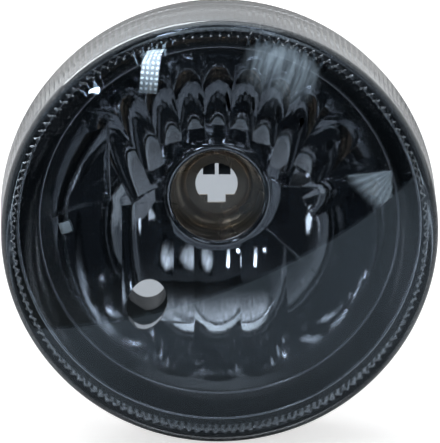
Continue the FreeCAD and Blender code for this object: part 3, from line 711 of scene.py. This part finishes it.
class HEADLIGHT_OT_trim(Operator):
    """Model the trim ring with a bead along each edge and its sunk land"""
    bl_idname = "headlight.trim"
    bl_label = "Trim Ring"

    def execute(self, context):
        settings = context.scene.headlight_trim
        (_, front, _), (outer, back, _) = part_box("bezel")
        inner, wall = settings.inner, settings.wall
        sunk = front + settings.sink
        hollow = 2.5 * wall
        corners = [
            (inner, back),
            *bead(inner + settings.bead, back - settings.lip, settings.bead),
            *bead(outer - settings.land, front + settings.bead, settings.bead),
            (outer - settings.land + settings.bead, sunk),
            (outer, sunk),
            (outer, back),
            (outer - wall, back),
            (outer - wall, front + hollow),
            (inner + hollow, back),
        ]
        ring = turned("trim_ring", corners, sides=256)
        bpy.ops.object.shade_smooth_by_angle(angle=SMOOTH_METAL)
        fit(ring, "bezel", dark_trim(settings))
        return {"FINISHED"}


def bead(radius, level, size, steps=8):
    """Corners of a half-round bead, from its inner side over the front to its outer side."""
    turns = [math.pi * k / steps for k in range(steps + 1)]
    return [(radius - size * math.cos(turn), level - size * math.sin(turn)) for turn in turns]


# ---------------------------------------------------------------- fasteners


class HEADLIGHT_OT_fasteners(Operator):
    """Model the collar screws and the threaded inserts"""
    bl_idname = "headlight.fasteners"
    bl_label = "Fasteners"

    def execute(self, context):
        settings = context.scene.headlight_fasteners
        zinc = turned_metal("zinc_plate", settings.zinc, 0.75, 0.26)
        brass = turned_metal("turned_brass", settings.brass, 0.7, 0.22)
        screws = in_thirds(make_screw, "collar_screw", settings.screw_circle, settings)
        inserts = in_thirds(make_insert, "boss_insert", settings.boss_circle, settings)
        # all are modelled before the first is fitted, so that a copy takes nothing over
        for screw, insert in list(zip(screws, inserts)):
            fit(screw, "collar_screws", zinc)
            fit(insert, "boss_inserts", brass)
        return {"FINISHED"}


def in_thirds(make, name, radius, settings):
    """Yield one fastener at the top of a circle, then two copies a third of a turn apart."""
    home, *others = [on_circle(radius, degrees) for degrees in (90.0, 210.0, 330.0)]
    first = make(f"{name}_1", home, settings)
    yield first
    for number, (x, z) in enumerate(others, start=2):
        yield copied(first, f"{name}_{number}", (x - home[0], z - home[1]))


def on_circle(radius, degrees):
    """Place across the lamp's axis at an angle seen from the front."""
    return radius * math.cos(math.radians(degrees)), radius * math.sin(math.radians(degrees))


def make_screw(name, axis, settings):
    """Pan-head screw: pointed threaded shank, crowned head and cross recess."""
    (_, tip, _), (_, top, _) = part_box("collar_screws")
    under = top - settings.head_height
    shank, core, point = settings.shank, 0.76 * settings.shank, 0.05 * settings.shank
    taper, start, plain = 0.0005, 0.0010, 0.0016
    corners = [(point, tip), (0.5 * shank, tip + taper)]
    for k in range(int((under - tip - plain) / settings.pitch)):
        level = tip + start + k * settings.pitch
        corners += [(core, level), (shank, level + 0.4 * settings.pitch)]
    crown = ((1.0, 0.0), (1.0, 0.0007), (0.93, 0.00125), (0.75, 0.00160), (0.45, settings.head_height))
    corners += [(core, under - taper), (shank, under)]
    corners += [(share * settings.head, under + rise) for share, rise in crown]
    corners += [(point, top)]
    screw = turned(name, corners, sides=36, axis=axis)
    combine(screw, make_cross(axis, top, settings), "DIFFERENCE")
    bpy.ops.object.select_all(action="DESELECT")
    screw.select_set(True)
    bpy.ops.object.shade_smooth_by_angle(angle=SMOOTH_METAL)
    return screw


def make_cross(axis, top, settings):
    """Two tapered bars that cut a cross recess."""
    bpy.ops.object.select_all(action="DESELECT")
    centre = (axis[0], top, axis[1])
    span, taper = 1.25 * settings.head, 0.6
    bars = []
    for turn in (0.0, math.pi / 2):
        bpy.ops.mesh.primitive_cube_add(size=1.0, location=centre, rotation=(0.0, turn, 0.0))
        bar = bpy.context.object
        bar.scale = (span, 2 * settings.slot_depth, settings.slot)
        bpy.ops.object.transform_apply(location=True, rotation=True, scale=True)
        pick(bar, lambda co: co.y < top)
        bpy.ops.transform.resize(value=(taper, 1.0, taper), center_override=centre)
        bpy.ops.object.mode_set(mode="OBJECT")
        bars.append(bar)
    combine(bars[0], bars[1], "UNION")
    return bars[0]


def make_insert(name, axis, settings):
    """Brass bush with a chamfered mouth and thread grooves in its bore."""
    (_, low, _), (_, high, _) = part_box("boss_inserts")
    pitch, bore = settings.pitch, settings.bore
    root = bore + 0.45 * pitch
    chamfer = 0.5 * pitch
    thread = ((bore, 0.2), (bore, 0.35), (root, 0.7), (root, 0.85))
    corners = [(settings.insert, low), (settings.insert, high - chamfer), (settings.insert - chamfer, high),
               (root + chamfer, high), (root, high - chamfer)]
    for k in range(int((high - low - 3 * chamfer) / pitch)):
        level = high - 1.5 * chamfer - k * pitch
        corners += [(radius, level - share * pitch) for radius, share in thread]
    corners += [(root, low)]
    insert = turned(name, corners, sides=32, axis=axis)
    bpy.ops.object.shade_smooth_by_angle(angle=SMOOTH_METAL)
    return insert


# ---------------------------------------------------------------- shell


class HEADLIGHT_OT_shell(Operator):
    """Dress the rear shell and what is fixed to it"""
    bl_idname = "headlight.shell"
    bl_label = "Rear Shell"

    def execute(self, context):
        settings = context.scene.headlight_shell
        dress("housing", black_plastic(settings))
        dress("bulb_collar", black_plastic(settings, "collar_plastic", 0.8, 1300.0))
        rubber = soft_rubber(settings)
        dress("vent_elbow_left", rubber)
        dress("vent_elbow_right", rubber)
        dress("lens_seal", soft_rubber(settings, "sealant", 0.7))
        dress("neck_gasket", closed_foam())
        return {"FINISHED"}


# ---------------------------------------------------------------- stage


class HEADLIGHT_OT_stage(Operator):
    """Set up the floor, the surroundings, the lamps and the camera"""
    bl_idname = "headlight.stage"
    bl_label = "Stage"

    def execute(self, context):
        settings = context.scene.headlight_stage
        make_floor(settings)
        make_world(context.scene)
        make_lamps()
        make_screens()
        make_camera(context.scene, settings)
        context.scene.view_settings.view_transform = "Standard"
        return {"FINISHED"}


def make_floor(settings):
    """Pale sheet under and behind the lamp, with a slanting front edge."""
    bpy.ops.object.select_all(action="DESELECT")
    bpy.ops.mesh.primitive_plane_add(size=6.0, location=(0.0, 0.0, FLOOR_LEVEL))
    floor = bpy.context.object
    floor.name = "floor"
    bpy.ops.object.mode_set(mode="EDIT")
    bpy.ops.mesh.select_all(action="SELECT")
    bpy.ops.mesh.bisect(plane_co=FLOOR_EDGE, plane_no=FLOOR_EDGE_NORMAL, clear_inner=True)
    bpy.ops.object.mode_set(mode="OBJECT")
    material, tree, shader = new_material("pale_floor", roughness=0.7, emission_strength=1.0)
    coords, _ = place(tree)
    cloud = ramp(tree, noise(tree, coords, 3.0), 0.3, 0.7)
    tone, black = tuple(settings.floor), (0.0, 0.0, 0.0)
    tree.links.new(blend(tree, cloud, tone, tuple(0.97 * c for c in tone)), shader.inputs["Base Color"])
    path = add(tree, "ShaderNodeLightPath").outputs
    seen = maths(tree, "MULTIPLY_ADD", path["Is Transmission Ray"], 0.5, path["Is Camera Ray"])
    tree.links.new(blend(tree, seen, black, tuple(settings.lift)), shader.inputs["Emission Color"])
    floor.data.materials.append(material)


def make_world(scene):
    """White surroundings behind the lamp and a dim room in front of it."""
    world = bpy.data.worlds.new("studio")
    world.use_nodes = True
    scene.world = world
    tree = world.node_tree
    tree.nodes.clear()
    output = tree.nodes.new("ShaderNodeOutputWorld")
    ground = tree.nodes.new("ShaderNodeBackground")
    tree.links.new(ground.outputs[0], output.inputs["Surface"])
    parts = add(tree, "ShaderNodeSeparateXYZ")
    tree.links.new(add(tree, "ShaderNodeTexCoord").outputs["Generated"], parts.inputs[0])
    behind = ramp(tree, parts.outputs["Y"], -0.12, 0.25)
    beside = ramp(tree, parts.outputs["Y"], -0.55, -0.25)
    path = add(tree, "ShaderNodeLightPath").outputs
    shown = maths(tree, "MAXIMUM", path["Is Glossy Ray"], path["Is Transmission Ray"])
    white = maths(tree, "MAXIMUM", path["Is Camera Ray"], maths(tree, "MULTIPLY", shown, behind))
    low = ramp(tree, parts.outputs["Z"], -0.30, -0.55)
    high = ramp(tree, parts.outputs["Z"], 0.25, 0.75)
    dim_wall, warm_floor, cool_ceiling = (0.04, 0.043, 0.047), (0.20, 0.19, 0.175), (0.13, 0.135, 0.14)
    side_wall, back_wall = (0.45, 0.455, 0.465), (0.70, 0.71, 0.73)
    front = blend(tree, low, dim_wall, warm_floor)
    front = blend(tree, high, front, cool_ceiling)
    front = blend(tree, beside, front, side_wall)
    room = blend(tree, behind, front, back_wall)
    tree.links.new(blend(tree, white, room, (1.0, 1.0, 1.0)), ground.inputs["Color"])


def toward(side, rise):
    """Direction from the lamp at an angle to the side and above, in degrees."""
    a, e = math.radians(side), math.radians(rise)
    return Vector((math.sin(a) * math.cos(e), -math.cos(a) * math.cos(e), math.sin(e)))


def facing(side, rise, roll):
    """Turn of a lamp or panel that faces the headlight from an angle to the side and above, in degrees."""
    turn = Matrix.Rotation(math.radians(roll), 3, "Z")
    return (toward(side, rise).to_track_quat("Z", "Y").to_matrix() @ turn).to_euler()


def make_lamps():
    """Softbox overhead, a kicker over the left shoulder and a small panel."""
    # name, side, rise, distance, width, height, roll, power
    lamps = (
        ("panel_left", -31.0, 20.4, 1.4, 0.075, 0.036, 0.0, 0.6),
        ("kicker_left", -155.0, 34.0, 1.2, 0.80, 0.36, -45.0, 5.5),
        ("softbox_top", 0.0, 108.0, 1.2, 0.90, 0.60, 0.0, 2.6),
    )
    for name, side, rise, distance, width, height, roll, power in lamps:
        lamp = bpy.data.lights.new(name, "AREA")
        lamp.shape = "RECTANGLE"
        lamp.size = width
        lamp.size_y = height
        lamp.energy = power
        obj = bpy.data.objects.new(name, lamp)
        bpy.context.scene.collection.objects.link(obj)
        obj.location = AIM + distance * toward(side, rise)
        obj.rotation_euler = facing(side, rise, roll)


def make_screens():
    """Panels for the lens and the reflector to mirror; the camera doesn't see them."""
    make_light_grid()
    # name, side, rise, roll, width, height, fineness of the folds, strength
    make_folded("window", 16.5, 24.8, -25.0, 0.58, 0.66, 26.0, 7.5)
    make_folded("ceiling", 6.0, 63.0, 0.0, 2.60, 1.20, 44.0, 5.6)
    # name, side, rise, width, height, strength
    make_card("card_front", 2.0, -3.0, 0.90, 0.44, 0.32)
    make_card("side_left", -58.0, -3.0, 0.14, 0.60, 8.0)
    make_card("side_right", 56.0, -3.0, 0.14, 0.60, 8.0)
    make_pane()
    make_fan()


def make_light_grid():
    """Upright grid of small lights that dims towards its lower end."""
    tree, _, (x, y, _), glow = make_screen("light_grid", -17.2, 26.8, 1.4, 0.105, 0.290)
    column_pitch, row_pitch = 0.0275, 0.030
    dot_strength, panel_strength = 46.0, 16.0
    columns = maths(tree, "ABSOLUTE", maths(tree, "SINE", maths(tree, "MULTIPLY", x, math.pi / column_pitch)))
    rows = maths(tree, "ABSOLUTE", maths(tree, "COSINE", maths(tree, "MULTIPLY", y, math.pi / row_pitch)))
    dots = ramp(tree, maths(tree, "MULTIPLY", columns, rows), 0.45, 0.95)
    fade = ramp(tree, y, -0.14, 0.08, 0.12, 1.0)
    light = maths(tree, "MULTIPLY_ADD", dots, dot_strength, panel_strength)
    tree.links.new(maths(tree, "MULTIPLY", fade, light), glow)


def make_folded(name, side, rise, roll, width, height, fine, strength):
    """Soft panel with upright folds that fades out towards its lower end."""
    tree, coords, (x, y, _), glow = make_screen(name, side, rise, 1.6, width, height, roll)
    stretch = add(tree, "ShaderNodeMapping")
    stretch.inputs["Scale"].default_value = (fine, 3.0, 1.0)
    tree.links.new(coords, stretch.inputs["Vector"])
    folds = ramp(tree, noise(tree, stretch.outputs["Vector"], 1.0), 0.32, 0.68, 0.20, 1.0)
    fall = ramp(tree, y, -0.34 * height, 0.28 * height, 0.03, 1.0)
    oval = soft_oval(tree, x, y, width, height)
    shape = maths(tree, "MULTIPLY", oval, maths(tree, "MULTIPLY", folds, fall))
    tree.links.new(maths(tree, "MULTIPLY", shape, strength), glow)


def make_card(name, side, rise, width, height, strength):
    """Plain panel with soft edges."""
    tree, _, (x, y, _), glow = make_screen(name, side, rise, 1.7, width, height)
    tree.links.new(maths(tree, "MULTIPLY", soft_oval(tree, x, y, width, height), strength), glow)


def make_pane():
    """Small panel low at the left, a little brighter at its upper end."""
    tree, _, (_, y, _), glow = make_screen("pane_left", -35.8, -11.7, 1.7, 0.080, 0.075, 20.0)
    tree.links.new(ramp(tree, y, -0.04, 0.04, 2.4, 3.4), glow)


def make_fan():
    """Panel at the right with stripes that spread from a point outside its upper corner."""
    tree, _, (x, y, _), glow = make_screen("fan_right", 36.3, -4.6, 1.6, 0.30, 0.28)
    hub_x, hub_y, stripes, strength = 0.20, 0.16, 34.0, 4.6
    spread = maths(tree, "ARCTAN2", maths(tree, "SUBTRACT", y, hub_y), maths(tree, "SUBTRACT", x, hub_x))
    waves = maths(tree, "SINE", maths(tree, "MULTIPLY", spread, stripes))
    blades = ramp(tree, waves, -1.0, 1.0, 0.45, 1.0)
    corner = ramp(tree, maths(tree, "ADD", x, y), -0.08, 0.06)
    tree.links.new(maths(tree, "MULTIPLY", maths(tree, "MULTIPLY", blades, corner), strength), glow)


def soft_oval(tree, x, y, width, height):
    """Mask that is full in the middle of a panel and fades out towards its edges."""
    across = maths(tree, "POWER", maths(tree, "MULTIPLY", x, 2.0 / width), 2.0)
    along = maths(tree, "POWER", maths(tree, "MULTIPLY", y, 2.0 / height), 2.0)
    return ramp(tree, maths(tree, "ADD", across, along), 1.0, 0.15)


def make_screen(name, side, rise, distance, width, height, roll=0.0):
    """Flat panel that faces the lamp; returns its shader tree, coordinates, their parts and the strength."""
    bpy.ops.object.select_all(action="DESELECT")
    bpy.ops.mesh.primitive_plane_add(size=1.0, location=AIM + distance * toward(side, rise),
                                     rotation=facing(side, rise, roll))
    screen = bpy.context.object
    screen.name = name
    screen.scale = (width, height, 1.0)
    bpy.ops.object.transform_apply(location=False, rotation=False, scale=True)
    screen.visible_camera = False
    material = bpy.data.materials.new(name)
    material.use_nodes = True
    tree = material.node_tree
    tree.nodes.clear()
    output = tree.nodes.new("ShaderNodeOutputMaterial")
    glow = tree.nodes.new("ShaderNodeEmission")
    tree.links.new(glow.outputs[0], output.inputs["Surface"])
    screen.data.materials.append(material)
    return tree, *place(tree), glow.inputs["Strength"]


def make_camera(scene, settings):
    """Camera in front of the lamp and a little above it."""
    back = toward(math.degrees(settings.azimuth), math.degrees(settings.elevation))
    right = (-back).cross(Vector((0.0, 0.0, 1.0))).normalized()
    up = right.cross(-back)
    camera = bpy.data.cameras.new("camera")
    camera.sensor_fit = "VERTICAL"
    camera.sensor_height = 36.0
    camera.lens = settings.focal
    obj = bpy.data.objects.new("camera", camera)
    scene.collection.objects.link(obj)
    shift_right, shift_up = CAMERA_SHIFT
    obj.location = CAMERA_PIVOT + settings.distance * back + shift_right * right + shift_up * up
    obj.rotation_euler = back.to_track_quat("Z", "Y").to_euler()
    scene.camera = obj


# ---------------------------------------------------------------- add-on


class HEADLIGHT_PT_panel(Panel):
    """Lists the headlight's pieces and their settings"""
    bl_label = "Scooter Headlight"
    bl_idname = "HEADLIGHT_PT_panel"
    bl_space_type = "VIEW_3D"
    bl_region_type = "UI"
    bl_category = "Headlight"

    def draw(self, context):
        for operator, name, _ in STEPS:
            box = self.layout.box()
            box.operator(operator.bl_idname)
            group = getattr(context.scene, name)
            for key in group.__annotations__:
                box.prop(group, key)


STEPS = (
    (HEADLIGHT_OT_lens, "headlight_lens", LensSettings),
    (HEADLIGHT_OT_mirror, "headlight_mirror", MirrorSettings),
    (HEADLIGHT_OT_trim, "headlight_trim", TrimSettings),
    (HEADLIGHT_OT_fasteners, "headlight_fasteners", FastenerSettings),
    (HEADLIGHT_OT_shell, "headlight_shell", ShellSettings),
    (HEADLIGHT_OT_stage, "headlight_stage", StageSettings),
)


def register():
    """Add the settings, the operators and the panel."""
    for operator, name, group in STEPS:
        bpy.utils.register_class(group)
        setattr(bpy.types.Scene, name, PointerProperty(type=group))
        bpy.utils.register_class(operator)
    bpy.utils.register_class(HEADLIGHT_PT_panel)


def unregister():
    """Take the panel, the operators and the settings away."""
    bpy.utils.unregister_class(HEADLIGHT_PT_panel)
    for operator, name, group in reversed(STEPS):
        bpy.utils.unregister_class(operator)
        delattr(bpy.types.Scene, name)
        bpy.utils.unregister_class(group)


def main():
    """Build every piece and the stage."""
    register()
    build_effects()
    bpy.ops.headlight.lens()
    bpy.ops.headlight.mirror()
    bpy.ops.headlight.trim()
    bpy.ops.headlight.fasteners()
    bpy.ops.headlight.shell()
    bpy.ops.headlight.stage()


if __name__ == "__main__":
    main()
